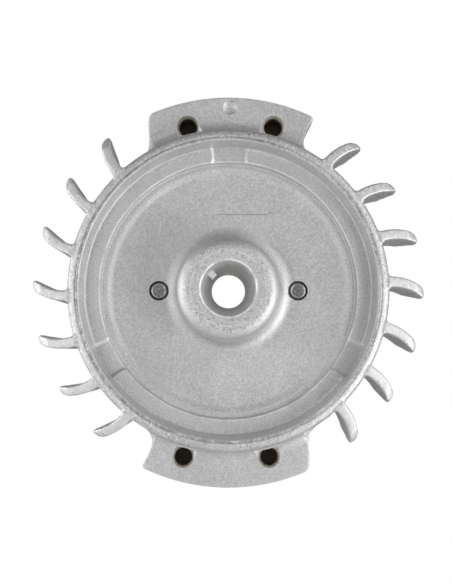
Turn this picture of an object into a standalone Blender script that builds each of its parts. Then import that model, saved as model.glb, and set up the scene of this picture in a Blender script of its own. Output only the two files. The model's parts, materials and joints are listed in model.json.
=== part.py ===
"""Flywheel of a small two-stroke engine: one die casting with its inserts and its starter pawls.

The wheel's axis is Y. Y = 0 is the hub's end face on the crankcase side, and +Y runs towards the
rope starter. +Z passes through the middle of the magnet lug. Lengths below are millimetres and
become metres where a mesh is made. A plan angle is counted in the XZ plane from +X towards +Z.
"""
import math

import bmesh
import bpy
from mathutils import Matrix, Vector

MM = 0.001
FIT_GAP = 0.3                     # clearance between pieces that touch on the real wheel

# Wheel
OUTER_R = 49.0                    # blade tips and pole faces
WHEEL_SIDES = 60                  # flat sides that stand for each turned circle

# Depths along +Y from the hub's end face
RIM_FACE_Y = 6.5
LAND_Y = 10.5
LAND_POCKET_Y = 11.6
WEB_FRONT_Y = 12.0
LUG_FACE_Y = 14.5
WEB_BACK_Y = 17.0
NUT_SEAT_Y = 18.0
PAWL_RING_Y = 24.5
WHEEL_BACK_Y = 27.5

# Radii
BORE_MOUTH_R = 6.85
BORE_END_R = 4.25                 # where the taper ends, at the nut seat
NUT_SEAT_R = 9.5
HUB_FACE_R = 9.9
HUB_R = 12.9
HUB_ROOT_R = 16.2
LAND_INNER_R = 32.2
LAND_OUTER_R = 35.9
RIM_INNER_R = 37.1
RIM_OUTER_R = 40.4
PAWL_RING_INNER_R = 26.8
PAWL_RING_OUTER_R = 29.0

# Key cast into the taper
KEY_ANGLE = math.radians(137.0)
KEY_WIDTH = 1.8
KEY_START_Y = 5.2
KEY_END_Y = 13.5
KEY_TOP_R = 4.6

# Recesses that split the ledge inside the rim into three lands
LAND_POCKET_ANGLES = [math.radians(a) for a in (89.5, 209.5, 330.5)]
LAND_POCKET_HALF = math.radians(7.6)

# Fan blades: 22 places round the wheel, the lugs take four places on each side
BLADE_PLACES = 22
BLADE_PITCH = 2.0 * math.pi / BLADE_PLACES
BLADES_PER_SIDE = 7
FIRST_TIP_ANGLE = math.radians(130.25)
BLADE_SWEEP = math.radians(2.9)   # how far the tip turns clockwise from the root
BLADE_FRONT_T = 2.0
BLADE_BACK_T = 2.8
BLADE_LEAN = 1.2                  # clockwise shift of the blade's middle from front to back
BLADE_INNER_R = 28.4
BLADE_CUT_R = 43.6                # from here out, the back edge runs forward to the tip
BLADE_TIP_BACK_Y = 12.2

# Lugs
LUG_INNER_R = 35.0
LUG_CORNER_ANGLES = (math.radians(64.9), math.radians(113.4))
LUG_RIGHT_SIDE = [(23.6, 31.0), (19.6, 35.2), (18.9, 37.3), (19.2, 38.9), (20.1, 41.1), (21.2, 43.4)]
LUG_LEFT_SIDE = [(-20.0, 44.0), (-20.2, 42.0), (-19.9, 38.0), (-20.2, 35.4), (-22.6, 33.0),
                 (-25.6, 31.0)]

# Pole shoes, balance packs and magnet
PACK_INNER_X = 6.6
PACK_OUTER_X = 15.6
PACK_INNER_Z = 36.9
PACK_R = 48.9
PACK_FRONT_Y = 17.8
PLATES = 7
PLATE_T = 1.0
PLATE_GAP = 0.22
PACK_BACK_Y = PACK_FRONT_Y + PLATES * PLATE_T + (PLATES - 1) * PLATE_GAP
POLE_HOLES = [(11.3, 41.5), (-10.2, 41.5)]     # in the magnet lug; the other lug is half a turn on
POLE_HOLE_R = 2.2
LUG_HOLE_MOUTH_R = 2.7
MAGNET_HALF_X = 6.2
MAGNET_BOTTOM_Z = 37.5
MAGNET_TOP_Z = 44.6
MAGNET_FRONT_Y = PACK_FRONT_Y + 0.2
MAGNET_BACK_Y = PACK_BACK_Y - 0.2

# Pawls, in the right-hand pawl's place; the left one is the same, half a turn round the axis
PIVOT_R = 17.4
SHOULDER_R = 3.0
PAWL_HOLE_R = 3.08
PAWL_BOSS_R = 4.8
PAWL_FRONT_Y = 20.2
PAWL_BACK_Y = 23.2
PAWL_TIP_R = 11.2
PAWL_TIP_ANGLE = math.radians(42.0)
PAWL_SWING = math.radians(32.0)
STOP_POST_R = 1.8
STOP_POST_Y = 22.5
THREAD_R = 2.2
THREAD_HOLE_R = 2.5
SCREW_END_R = 1.9
SCREW_HEAD_R = 4.6
SCREW_HEAD_T = 2.2
SOCKET_R = 1.75                   # corner radius of the screw's hexagon socket

# Pawl spring
WIRE_R = 0.3
COIL_R = 4.1
COIL_WHOLE_TURNS = 2
COIL_FRONT_Y = 17.65
COIL_PITCH = 0.75

ALUMINIUM = ("cast_aluminium", (0.50, 0.50, 0.50, 1.0), 0.55, 1.0)
LAMINATION = ("lamination_steel", (0.25, 0.23, 0.21, 1.0), 0.5, 1.0)
FERRITE = ("magnet_ferrite", (0.05, 0.05, 0.055, 1.0), 0.6, 0.0)
PAWL_STEEL = ("pawl_steel", (0.16, 0.155, 0.15, 1.0), 0.45, 1.0)
SPRING_STEEL = ("spring_steel", (0.42, 0.42, 0.41, 1.0), 0.3, 1.0)
ZINC = ("zinc_plated_steel", (0.62, 0.62, 0.60, 1.0), 0.35, 1.0)


# ---------------------------------------------------------------- helpers

def clear_scene():
    for obj in list(bpy.data.objects):
        bpy.data.objects.remove(obj, do_unlink=True)


def material(spec):
    name, colour, roughness, metallic = spec
    found = bpy.data.materials.get(name)
    if found:
        return found
    made = bpy.data.materials.new(name)
    made.use_nodes = True
    shader = made.node_tree.nodes["Principled BSDF"]
    shader.inputs["Base Color"].default_value = colour
    shader.inputs["Roughness"].default_value = roughness
    shader.inputs["Metallic"].default_value = metallic
    made.diffuse_color = colour
    return made


def new_object(name, bm, spec):
    """Closes the bmesh's normals outward and gives it an object, with millimetres made metres."""
    bmesh.ops.recalc_face_normals(bm, faces=bm.faces)
    mesh = bpy.data.meshes.new(name)
    bm.to_mesh(mesh)
    bm.free()
    mesh.transform(Matrix.Scale(MM, 4))
    mesh.materials.append(material(spec))
    obj = bpy.data.objects.new(name, mesh)
    bpy.context.scene.collection.objects.link(obj)
    return obj


def polar(radius, angle):
    return (radius * math.cos(angle), radius * math.sin(angle))


def arc(radius, start, end, steps):
    """Points of an arc about the wheel's axis, both ends included."""
    return [polar(radius, start + (end - start) * i / steps) for i in range(steps + 1)]


def circle(centre, radius, sides):
    """Points of a circle, counter-clockwise."""
    turns = [2.0 * math.pi * i / sides for i in range(sides)]
    return [(centre[0] + radius * math.cos(t), centre[1] + radius * math.sin(t)) for t in turns]


def half_turn(points):
    return [(-x, -z) for x, z in points]


def add_loft(bm, sections):
    """Joins closed loops of (x, y, z) points, one after the other, into a capped solid."""
    loops = [[bm.verts.new(point) for point in section] for section in sections]
    for low, high in zip(loops, loops[1:]):
        count = len(low)
        for i in range(count):
            j = (i + 1) % count
            bm.faces.new((low[i], low[j], high[j], high[i]))
    bm.faces.new(list(reversed(loops[0])))
    bm.faces.new(loops[-1])


def add_prism(bm, outline, y_front, y_back):
    """A plan outline of (x, z) points, extruded from y_front to y_back."""
    add_loft(bm, [[(x, y, z) for x, z in outline] for y in (y_front, y_back)])


def add_turned(bm, profile, sides, centre=(0.0, 0.0)):
    """A closed (radius, y) profile, turned about an axis along Y through centre."""
    rings = []
    for i in range(sides):
        turn = 2.0 * math.pi * i / sides
        x, z = polar(1.0, turn)
        rings.append([bm.verts.new((centre[0] + r * x, y, centre[1] + r * z)) for r, y in profile])
    for i in range(sides):
        here = rings[i]
        there = rings[(i + 1) % sides]
        for k in range(len(profile)):
            n = (k + 1) % len(profile)
            bm.faces.new((here[k], here[n], there[n], there[k]))


def add_plate(bm, outline, hole, y_front, y_back):
    """An extruded outline with one through hole, its two faces made by a triangle fill."""
    edges = {}
    for y in (y_front, y_back):
        edges[y] = []
        for loop in (outline, hole):
            verts = [bm.verts.new((x, y, z)) for x, z in loop]
            closed = list(zip(verts, verts[1:] + verts[:1]))
            edges[y].append([bm.edges.new(pair) for pair in closed])
    for front, back in zip(edges[y_front], edges[y_back]):
        for low, high in zip(front, back):
            bm.faces.new((low.verts[0], low.verts[1], high.verts[1], high.verts[0]))
    for y in (y_front, y_back):
        rim = edges[y][0] + edges[y][1]
        bmesh.ops.triangle_fill(bm, use_beauty=True, use_dissolve=False, edges=rim)


def apply_boolean(target, operation, tool):
    """Cuts or joins with the exact solver, keeps the result as the target's mesh, drops the tool."""
    modifier = target.modifiers.new(tool.name, "BOOLEAN")
    modifier.operation = operation
    modifier.solver = "EXACT"
    modifier.object = tool
    depsgraph = bpy.context.evaluated_depsgraph_get()
    result = bpy.data.meshes.new_from_object(target.evaluated_get(depsgraph))
    target.modifiers.remove(modifier)
    target.data = result
    bpy.data.objects.remove(tool, do_unlink=True)


def soften(obj, angle=35.0):
    obj.data.shade_smooth()
    obj.data.set_sharp_from_angle(angle=math.radians(angle))


# ---------------------------------------------------------------- casting

def wheel_profile():
    """Hub, web and rim in section, from the bore's mouth through the bore and back round the rim."""
    bore = [(BORE_MOUTH_R, 0.0), (BORE_END_R, NUT_SEAT_Y)]
    starter_side = [(NUT_SEAT_R, NUT_SEAT_Y), (NUT_SEAT_R + 0.5, WEB_BACK_Y),
                    (PAWL_RING_INNER_R - 0.4, WEB_BACK_Y), (PAWL_RING_INNER_R, PAWL_RING_Y),
                    (PAWL_RING_OUTER_R, PAWL_RING_Y), (PAWL_RING_OUTER_R + 0.8, WEB_BACK_Y + 0.2)]
    rim = [(RIM_OUTER_R, 15.8), (RIM_OUTER_R - 0.3, 8.6), (39.8, 7.2), (38.9, RIM_FACE_Y),
           (RIM_INNER_R + 0.2, RIM_FACE_Y), (RIM_INNER_R, RIM_FACE_Y + 0.2)]
    ledge = [(LAND_OUTER_R, LAND_Y), (LAND_INNER_R, LAND_Y), (LAND_INNER_R - 0.2, 11.5),
             (28.3, WEB_FRONT_Y)]
    hub = [(HUB_ROOT_R, WEB_FRONT_Y), (14.3, 11.4), (13.3, 10.0), (HUB_R, 8.6), (12.7, 2.9),
           (12.2, 1.4), (11.2, 0.4), (HUB_FACE_R, 0.0)]
    return bore + starter_side + rim + ledge + hub


def wheel_body():
    bm = bmesh.new()
    add_turned(bm, wheel_profile(), WHEEL_SIDES)
    return new_object("flywheel_casting", bm, ALUMINIUM)


def blade_section(tip_angle, radius, y_front, y_back):
    """The blade's four corners at one radius: it leans clockwise and thickens towards its back."""
    travel = max(0.0, (radius - RIM_OUTER_R) / (OUTER_R - RIM_OUTER_R))
    middle = tip_angle + BLADE_SWEEP * (1.0 - travel * travel)
    corners = []
    for y, thickness, sides in ((y_front, BLADE_FRONT_T, (1, -1)), (y_back, BLADE_BACK_T, (-1, 1))):
        depth = (y - RIM_FACE_Y) / (WHEEL_BACK_Y - RIM_FACE_Y)
        width = BLADE_FRONT_T + (BLADE_BACK_T - BLADE_FRONT_T) * depth
        for side in sides:
            shift = (side * 0.5 * width - BLADE_LEAN * depth) / radius
            x, z = polar(radius, middle + shift)
            corners.append((x, y, z))
    return corners


def add_blade(bm, tip_angle, full):
    """A blade from the pawl ring outwards; behind a lug it stops short, inside the lug."""
    inner = [(BLADE_INNER_R, 16.4, 23.8), (31.0, 16.4, 26.4), (33.5, 16.4, WHEEL_BACK_Y)]
    if full:
        outer = [(38.7, 16.0, WHEEL_BACK_Y), (39.2, 7.2, WHEEL_BACK_Y), (42.0, 7.0, WHEEL_BACK_Y),
                 (BLADE_CUT_R, 7.2, WHEEL_BACK_Y)]
        for radius, front in ((45.4, 7.7), (46.8, 8.3), (48.2, 9.4), (OUTER_R, 10.6)):
            cut = (radius - BLADE_CUT_R) / (OUTER_R - BLADE_CUT_R)
            outer.append((radius, front, WHEEL_BACK_Y + (BLADE_TIP_BACK_Y - WHEEL_BACK_Y) * cut))
    else:
        outer = [(LUG_INNER_R + 1.0, 16.4, WHEEL_BACK_Y - 0.5)]
    add_loft(bm, [blade_section(tip_angle, *station) for station in inner + outer])


def blades():
    bm = bmesh.new()
    for place in range(BLADE_PLACES):
        full = place % (BLADE_PLACES // 2) < BLADES_PER_SIDE
        add_blade(bm, FIRST_TIP_ANGLE + place * BLADE_PITCH, full)
    return new_object("blade_tool", bm, ALUMINIUM)


def lug_outline():
    """Plan of the magnet lug, counter-clockwise from the foot of its right side."""
    start, end = LUG_CORNER_ANGLES
    outer = arc(OUTER_R, start, end, 10)
    foot = arc(LUG_INNER_R, math.radians(127.0), math.radians(55.0), 8)
    return LUG_RIGHT_SIDE + outer + LUG_LEFT_SIDE + foot


def lugs():
    bm = bmesh.new()
    outline = lug_outline()
    add_prism(bm, outline, LUG_FACE_Y, WHEEL_BACK_Y - 0.2)
    add_prism(bm, half_turn(outline), LUG_FACE_Y, WHEEL_BACK_Y - 0.2)
    return new_object("lug_tool", bm, ALUMINIUM)


def pawl_frame():
    """The right pawl's pivot and its two directions: along the arm, and outwards across it."""
    pivot = Vector((PIVOT_R, 0.0))
    tip = Vector(polar(PAWL_TIP_R, PAWL_TIP_ANGLE))
    along = (tip - pivot).normalized()
    across = Vector((along.y, -along.x))
    return pivot, along, across


def pawl_point(u, v, swing=0.0):
    """A plan point from its place along and across the arm, with the pawl swung outwards."""
    pivot, along, across = pawl_frame()
    offset = along * u + across * v
    turned = Matrix.Rotation(-swing, 2) @ offset
    return (pivot.x + turned.x, pivot.y + turned.y)


def heel_stop_outline():
    """A cast pad on the pawl ring, which the pawl's heel rests on."""
    near = [pawl_point(-8.0, 2.7), pawl_point(-4.9, 2.7), pawl_point(-4.4, 4.6)]
    far = arc(PAWL_RING_INNER_R + 1.0, math.radians(3.0), math.radians(-8.0), 3)
    return near + far


def stop_post_centre():
    """Where the outer stop stands: beside the arm when the pawl is fully out."""
    return pawl_point(8.0, 2.75 + FIT_GAP + STOP_POST_R, PAWL_SWING)


def pawl_stops():
    bm = bmesh.new()
    heel = heel_stop_outline()
    post = circle(stop_post_centre(), STOP_POST_R, 14)
    for outline in (heel, half_turn(heel), post, half_turn(post)):
        add_prism(bm, outline, WEB_BACK_Y - 1.0, STOP_POST_Y)
    return new_object("stop_tool", bm, ALUMINIUM)


def key_rib():
    bm = bmesh.new()
    along = Vector(polar(1.0, KEY_ANGLE))
    aside = Vector((-along.y, along.x)) * (0.5 * KEY_WIDTH)
    inner = along * KEY_TOP_R
    outer = along * (BORE_MOUTH_R + 1.0)
    corners = [inner + aside, inner - aside, outer - aside, outer + aside]
    add_prism(bm, [(c.x, c.y) for c in corners], KEY_START_Y, KEY_END_Y)
    return new_object("key_tool", bm, ALUMINIUM)


def land_pockets():
    bm = bmesh.new()
    for middle in LAND_POCKET_ANGLES:
        start = middle - LAND_POCKET_HALF
        end = middle + LAND_POCKET_HALF
        outline = arc(LAND_INNER_R - 0.9, start, end, 3) + arc(LAND_OUTER_R - 0.25, end, start, 3)
        add_prism(bm, outline, LAND_Y - 1.0, LAND_POCKET_Y)
    return new_object("land_tool", bm, ALUMINIUM)


def pack_outline(grow=0.0):
    """Plan of the right pole shoe: a block with a round outer face, enlarged by grow."""
    left = PACK_INNER_X - grow
    right = PACK_OUTER_X + grow
    outer_r = PACK_R + (4.0 if grow else 0.0)
    start = math.acos(right / outer_r)
    end = math.acos(left / outer_r)
    bottom = PACK_INNER_Z - grow
    return [(left, bottom), (right, bottom)] + arc(outer_r, start, end, 4)


def mirror_x(points):
    return [(-x, z) for x, z in reversed(points)]


def insert_pockets():
    """Pockets for the four packs, open at the lugs' outer faces."""
    bm = bmesh.new()
    front = PACK_FRONT_Y - FIT_GAP
    back = PACK_BACK_Y + FIT_GAP
    pocket = pack_outline(FIT_GAP)
    for outline in (pocket, mirror_x(pocket), half_turn(pocket), half_turn(mirror_x(pocket))):
        add_prism(bm, outline, front, back)
    return new_object("pocket_tool", bm, ALUMINIUM)


def magnet_outline(half, grow=0.0):
    bottom = MAGNET_BOTTOM_Z - grow
    top = MAGNET_TOP_Z + grow
    return [(-half, bottom), (half, bottom), (half, top), (-half, top)]


def magnet_pocket():
    """The magnet's bed, open into the two pole shoes' pockets beside it."""
    bm = bmesh.new()
    outline = magnet_outline(PACK_INNER_X + 1.0, FIT_GAP)
    add_prism(bm, outline, MAGNET_FRONT_Y - FIT_GAP, MAGNET_BACK_Y + FIT_GAP)
    return new_object("magnet_tool", bm, ALUMINIUM)


def lug_holes():
    """Tapering cast holes from the lug's face to the packs."""
    bm = bmesh.new()
    for centre in POLE_HOLES + half_turn(POLE_HOLES):
        sections = []
        for y, radius in ((LUG_FACE_Y - 1.0, LUG_HOLE_MOUTH_R + 0.2), (PACK_FRONT_Y, POLE_HOLE_R)):
            sections.append([(px, y, pz) for px, pz in circle(centre, radius, 16)])
        add_loft(bm, sections)
    return new_object("lug_hole_tool", bm, ALUMINIUM)


def screw_holes():
    bm = bmesh.new()
    for x in (-PIVOT_R, PIVOT_R):
        add_prism(bm, circle((x, 0.0), THREAD_HOLE_R, 20), WEB_FRONT_Y - 1.0, WEB_BACK_Y + 1.0)
    return new_object("screw_hole_tool", bm, ALUMINIUM)


def flywheel_casting():
    casting = wheel_body()
    for part in (blades(), lugs(), pawl_stops(), key_rib()):
        apply_boolean(casting, "UNION", part)
    for cut in (land_pockets(), insert_pockets(), magnet_pocket(), lug_holes(), screw_holes()):
        apply_boolean(casting, "DIFFERENCE", cut)
    soften(casting)
    return casting


# ---------------------------------------------------------------- inserts

def laminated_pack(name, place, centre):
    """Plates of one pack, from the front one back. place turns right-hand points into the pack's."""
    outline = place(pack_outline())
    hole = circle(centre, POLE_HOLE_R, 12)
    for i in range(PLATES):
        front = PACK_FRONT_Y + i * (PLATE_T + PLATE_GAP)
        bm = bmesh.new()
        add_plate(bm, outline, hole, front, front + PLATE_T)
        new_object(f"{name}_plate_{i + 1}", bm, LAMINATION)


def inserts():
    right_hole, left_hole = POLE_HOLES
    far_left_hole, far_right_hole = half_turn(POLE_HOLES)
    laminated_pack("pole_right", lambda points: points, right_hole)
    laminated_pack("pole_left", mirror_x, left_hole)
    laminated_pack("balance_left", half_turn, far_left_hole)
    laminated_pack("balance_right", lambda points: half_turn(mirror_x(points)), far_right_hole)
    bm = bmesh.new()
    add_prism(bm, magnet_outline(MAGNET_HALF_X), MAGNET_FRONT_Y, MAGNET_BACK_Y)
    new_object("ignition_magnet", bm, FERRITE)


# ---------------------------------------------------------------- starter pawls

def pawl_outline():
    """Plan of the right pawl: round boss, arm with a blunt nose, and a heel behind the pivot."""
    boss = []
    for degrees in range(62, 143, 16):
        turn = math.radians(degrees)
        boss.append((PAWL_BOSS_R * math.cos(turn), PAWL_BOSS_R * math.sin(turn)))
    heel = [(-5.2, 2.4), (-7.4, 2.4), (-8.0, 1.6), (-7.8, -0.4), (-5.6, -1.6)]
    under = []
    for degrees in range(216, 300, 16):
        turn = math.radians(degrees)
        under.append((PAWL_BOSS_R * math.cos(turn), PAWL_BOSS_R * math.sin(turn)))
    nose = [(6.6, -2.5), (10.6, -2.0), (12.2, -1.0), (12.4, 0.7), (10.9, 2.1), (8.0, 2.75), (5.0, 3.5)]
    local = nose + boss + heel + under
    return [pawl_point(u, v) for u, v in local]


def place_on_pivot(obj, pivot):
    """Moves the object's origin to its pivot, without moving its shape."""
    origin = Vector((pivot[0], 0.0, pivot[1])) * MM
    obj.data.transform(Matrix.Translation(-origin))
    obj.location = origin


def pawl(name, turn):
    bm = bmesh.new()
    outline = turn(pawl_outline())
    pivot = turn([(PIVOT_R, 0.0)])[0]
    add_plate(bm, outline, circle(pivot, PAWL_HOLE_R, 20), PAWL_FRONT_Y, PAWL_BACK_Y)
    made = new_object(name, bm, PAWL_STEEL)
    place_on_pivot(made, pivot)
    soften(made)


def pawl_screw(name, turn):
    """Shoulder screw: thread through the web, shoulder in the pawl, low head with a hexagon socket."""
    pivot = turn([(PIVOT_R, 0.0)])[0]
    head_front = PAWL_BACK_Y + FIT_GAP
    head_back = head_front + SCREW_HEAD_T
    thread_front = WEB_FRONT_Y + 0.25
    shoulder_front = WEB_BACK_Y + FIT_GAP
    profile = [(SCREW_END_R, thread_front), (THREAD_R, thread_front + 0.5), (THREAD_R, shoulder_front),
               (SHOULDER_R, shoulder_front), (SHOULDER_R, head_front), (SCREW_HEAD_R, head_front),
               (SCREW_HEAD_R, head_back - 0.5), (SCREW_HEAD_R - 0.5, head_back)]
    sections = []
    for radius, y in profile:
        sections.append([(x, y, z) for x, z in circle(pivot, radius, 20)])
    bm = bmesh.new()
    add_loft(bm, sections)
    screw = new_object(name, bm, ZINC)
    bm = bmesh.new()
    add_prism(bm, circle(pivot, SOCKET_R, 6), head_back - 1.5, head_back + 1.0)
    apply_boolean(screw, "DIFFERENCE", new_object("socket_tool", bm, ZINC))
    soften(screw)


def tangent_turn(point, radius, leaving):
    """Plan angle where a counter-clockwise circle at the origin meets its tangent through point."""
    reach = math.acos(radius / point.length)
    towards = math.atan2(point.y, point.x)
    return towards - reach if leaving else towards + reach


def spring_path():
    """Wire centre line of the right spring: leg on the stop post, coil, leg hooked on the pawl."""
    pivot = Vector((PIVOT_R, 0.0))
    beside_post = Vector((STOP_POST_R + WIRE_R + 0.15, -0.6))
    leg = Vector(stop_post_centre()) - beside_post - pivot
    hook = Vector(pawl_point(8.2, 2.72 + WIRE_R + 0.2)) - pivot
    start = tangent_turn(leg, COIL_R, leaving=False)
    end = tangent_turn(hook, COIL_R, leaving=True)
    sweep = (end - start) % (2.0 * math.pi) + 2.0 * math.pi * COIL_WHOLE_TURNS
    coil_height = COIL_PITCH * sweep / (2.0 * math.pi)
    steps = round(sweep / math.radians(22.5))
    plan = [(leg, 0.0)]
    for i in range(steps + 1):
        plan.append((Vector(polar(COIL_R, start + sweep * i / steps)), coil_height * i / steps))
    plan.append((hook, coil_height))
    plan.append((hook, PAWL_FRONT_Y + 1.6 - COIL_FRONT_Y))
    return [Vector((pivot.x + p.x, COIL_FRONT_Y + rise, pivot.y + p.y)) for p, rise in plan]


def add_wire(bm, path, radius, sides):
    """A round wire swept along the path, its ring carried along without twist."""
    rings = []
    side = None
    for i, point in enumerate(path):
        ahead = path[min(i + 1, len(path) - 1)]
        behind = path[max(i - 1, 0)]
        forward = (ahead - behind).normalized()
        if side is None:
            side = forward.orthogonal().normalized()
        side = (side - forward * side.dot(forward)).normalized()
        other = forward.cross(side)
        ring = []
        for k in range(sides):
            turn = 2.0 * math.pi * k / sides
            offset = side * (radius * math.cos(turn)) + other * (radius * math.sin(turn))
            ring.append(tuple(point + offset))
        rings.append(ring)
    add_loft(bm, rings)


def pawl_spring(name, left):
    sign = -1.0 if left else 1.0
    path = [Vector((sign * p.x, p.y, sign * p.z)) for p in spring_path()]
    bm = bmesh.new()
    add_wire(bm, path, WIRE_R, 6)
    soften(new_object(name, bm, SPRING_STEEL), 60.0)


def starter_pawls():
    for side, turn in (("right", lambda points: points), ("left", half_turn)):
        pawl(f"pawl_{side}", turn)
        pawl_screw(f"pawl_screw_{side}", turn)
        pawl_spring(f"pawl_spring_{side}", side == "left")


clear_scene()
flywheel_casting()
inserts()
starter_pawls()
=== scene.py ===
"""Looks of the flywheel: a fine die casting with its inserts, pawls, springs and screws, in soft light.

The wheel's axis is Y, the crankcase side faces -Y. Lengths are millimetres in the tables below and
become metres where a mesh is made. A plan angle is counted in the XZ plane from +X towards +Z.
"""

import json
import math

import bmesh
import bpy
from mathutils import Matrix, Vector


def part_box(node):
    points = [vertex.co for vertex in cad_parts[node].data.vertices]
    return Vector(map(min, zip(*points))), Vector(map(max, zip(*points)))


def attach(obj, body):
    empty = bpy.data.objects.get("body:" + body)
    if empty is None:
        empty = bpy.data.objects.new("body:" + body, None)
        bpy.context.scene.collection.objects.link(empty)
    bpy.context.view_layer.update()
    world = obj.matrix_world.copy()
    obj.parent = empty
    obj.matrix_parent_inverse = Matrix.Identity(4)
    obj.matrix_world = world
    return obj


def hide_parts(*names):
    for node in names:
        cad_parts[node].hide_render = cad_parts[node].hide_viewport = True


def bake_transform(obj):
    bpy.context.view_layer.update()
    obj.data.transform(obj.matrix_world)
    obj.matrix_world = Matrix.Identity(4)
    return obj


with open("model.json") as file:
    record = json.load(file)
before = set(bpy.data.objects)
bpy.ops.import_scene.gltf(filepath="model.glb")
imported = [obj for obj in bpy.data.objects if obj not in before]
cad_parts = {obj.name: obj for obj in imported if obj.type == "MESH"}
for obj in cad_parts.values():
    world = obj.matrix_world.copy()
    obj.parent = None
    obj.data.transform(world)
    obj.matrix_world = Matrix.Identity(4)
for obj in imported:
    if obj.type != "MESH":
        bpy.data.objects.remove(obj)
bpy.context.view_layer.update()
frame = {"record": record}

MM = 0.001
TAU = 2.0 * math.pi
CASTING_LOW, CASTING_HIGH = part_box("flywheel_casting")
OUTER_R = CASTING_HIGH.x / MM
WHEEL_BACK_Y = CASTING_HIGH.y / MM

# Depths along +Y from the hub's end face
RIM_FACE_Y = 6.5
LAND_Y = 10.4                     # the ledge, at its inner edge
LAND_POCKET_Y = 11.0
LAND_FALL = 0.09                  # the ledge deepens outwards, mm per mm
LEDGE_FOOT_Y = 11.5               # the shelf inside the ledge
GROOVE_Y = 11.8                   # bottom of the groove at the ledge's foot
WEB_FRONT_Y = 12.1
LUG_FACE_Y = 14.5
WEB_BACK_Y = 17.0
NUT_SEAT_Y = 18.0
PAWL_RING_Y = 24.5
STOP_Y = 22.5

# Radii
BORE_MOUTH_R = 6.8
BORE_END_R = 4.15                 # where the taper ends, at the nut seat
NUT_SEAT_R = 9.5
HUB_R = 12.65
HUB_ROOT_R = 12.95
HUB_SHOULDER_R = 3.1
HUB_FILLET_R = 3.3
SLOPE_FOOT_R = 29.0               # where the web starts to rise towards the ledge
SLOPE_TOP_R = 30.6
GROOVE_R = 31.75
LAND_INNER_R = 32.2
LAND_OUTER_R = 35.9
RIM_INNER_R = 37.2
SEAM_R = 38.0                     # where the rim's outer ring begins, on its front face
RIM_OUTER_R = 40.05
PAWL_RING_INNER_R = 26.8
PAWL_RING_OUTER_R = 29.0

HUB_RING_R = 9.3                  # faint ring turned into the hub's face
MOUTH_HIGHLIGHT_R = 7.05               # painted highlight round the bore's mouth
SEAM_LINE_R = 37.8                # line of dark specks on the rim's front

KEY_ANGLE = math.radians(137.5)
KEY_WIDTH = 1.7
KEY_START_Y = 5.3
KEY_END_Y = 13.5
KEY_TOP_R = 4.6

LAND_POCKET_ANGLES = [math.radians(a) for a in (89.5, 209.5, 330.5)]
LAND_POCKET_HALF = math.radians(7.6)
POCKET_END_SLOPE = 0.75           # width of the slope at a pocket's end

BLADE_PLACES = 22
BLADE_PITCH = TAU / BLADE_PLACES
BLADES_PER_SIDE = 7
LEFT_TIP_ANGLE = math.radians(129.5)         # the uppermost blade on the left
RIGHT_TIP_ANGLE = math.radians(310.25)       # the lowest blade on the right
BLADE_SWEEP = math.radians(3.5)   # how far the tip turns clockwise from the root
BLADE_FRONT_T = 2.65
BLADE_BACK_T = 2.7
BLADE_LEAN = 0.19                 # clockwise lean towards the back, for each mm outside LEAN_START_R
LEAN_START_R = 41.0
BLADE_INNER_R = 28.2
BLADE_CUT_R = 44.9                # from here out, the back edge runs forward to the tip
BLADE_TIP_R = 48.7
BLADE_TIP_BACK_Y = 14.0
BLADE_FRONT_Y = 7.0               # front edge at the rim
BLADE_FRONT_FALL = 1.9            # how far it slopes back on the way to the tip
TIP_FACET_START = 0.78            # share of the way where the steeper facet at the tip begins
TIP_FACET_FALL = 1.2
BLADE_TIP_ROUND = 1.2
BLADE_FILLET_R = 0.5
BLADE_STATIONS = 30               # sections between the rim and the tip

LUG_INNER_R = 35.0
LUG_CORNERS = (math.radians(64.6), math.radians(113.4))
LUG_RIGHT_SIDE = [(23.6, 31.0), (21.0, 33.6), (19.4, 35.6), (18.9, 37.3), (19.2, 39.0), (20.1, 41.1),
                  (21.45, 43.6)]
LUG_LEFT_SIDE = [(-20.0, 44.0), (-20.2, 42.0), (-19.9, 38.0), (-20.2, 35.4), (-22.0, 33.5),
                 (-25.6, 31.0)]
LUG_FILLET_R = 3.2
LUG_FILLET_ENDS = (math.radians(63.4), math.radians(117.6))
LUG_BACK_Y = WHEEL_BACK_Y - 0.2
FAR_LUG_SCALE = 1.006             # the lug opposite the magnet is a little larger

LUG_HOLES = [(11.3, 41.5), (-10.2, 41.5)]     # in the magnet lug; the other lug is half a turn on
LUG_HOLE_MOUTH_R = 2.72
LUG_HOLE_R = 2.15
DIMPLE_CENTRE = (0.4, 46.4)
DIMPLE_R = 1.85
DIMPLE_DEPTH = 0.7
WITNESS = (-3.9, 11.4, 19.1, 23.6, 2.4)       # left, right, low and high sides, corner radius
WITNESS_DEPTH = 0.055
WITNESS_HALF_WIDTH = 0.06
PIT_CENTRE = Vector((-14.0, 6.5, -36.2))
THREAD_HOLE_R = 2.42

PIVOT_R = 17.4
THREAD_R = 2.2
SCREW_POINT_R = 1.98
THREAD_FORM = [(0.32, 0.0), (0.0, 0.22), (0.0, 0.3), (0.32, 0.5)]
POINT_LIP = [(0.56, 0.12), (0.46, 0.03), (0.32, 0.0), (0.16, 0.05), (0.04, 0.18), (0.0, 0.4),
             (0.08, 1.2)]                      # inset and depth of the screw point's rounded rim
SHOULDER_R = 3.0
SCREW_HEAD_R = 4.6
SOCKET_R = 1.75
PAWL_HOLE_R = 3.08
PAWL_BOSS_R = 4.8
PAWL_TIP_R = 11.2
PAWL_TIP_ANGLE = math.radians(42.0)
PAWL_SWING = math.radians(frame["record"]["behaviour"]["joints"][0]["range_deg"][1])
STOP_POST_R = 1.8

WIRE_R = 0.3
COIL_R = 4.1
COIL_WHOLE_TURNS = 2
COIL_FRONT_Y = 17.65
COIL_PITCH = 0.75

BED_GAP = 0.08                    # between a cast-in piece and its bed
FINE_SIDES = 200                  # sides of a turned circle
VOXEL = 0.27                      # grid of the cast skin's remesh
SKIN_TRIANGLES = 128000.0


# ---------------------------------------------------------------- mesh helpers

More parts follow.
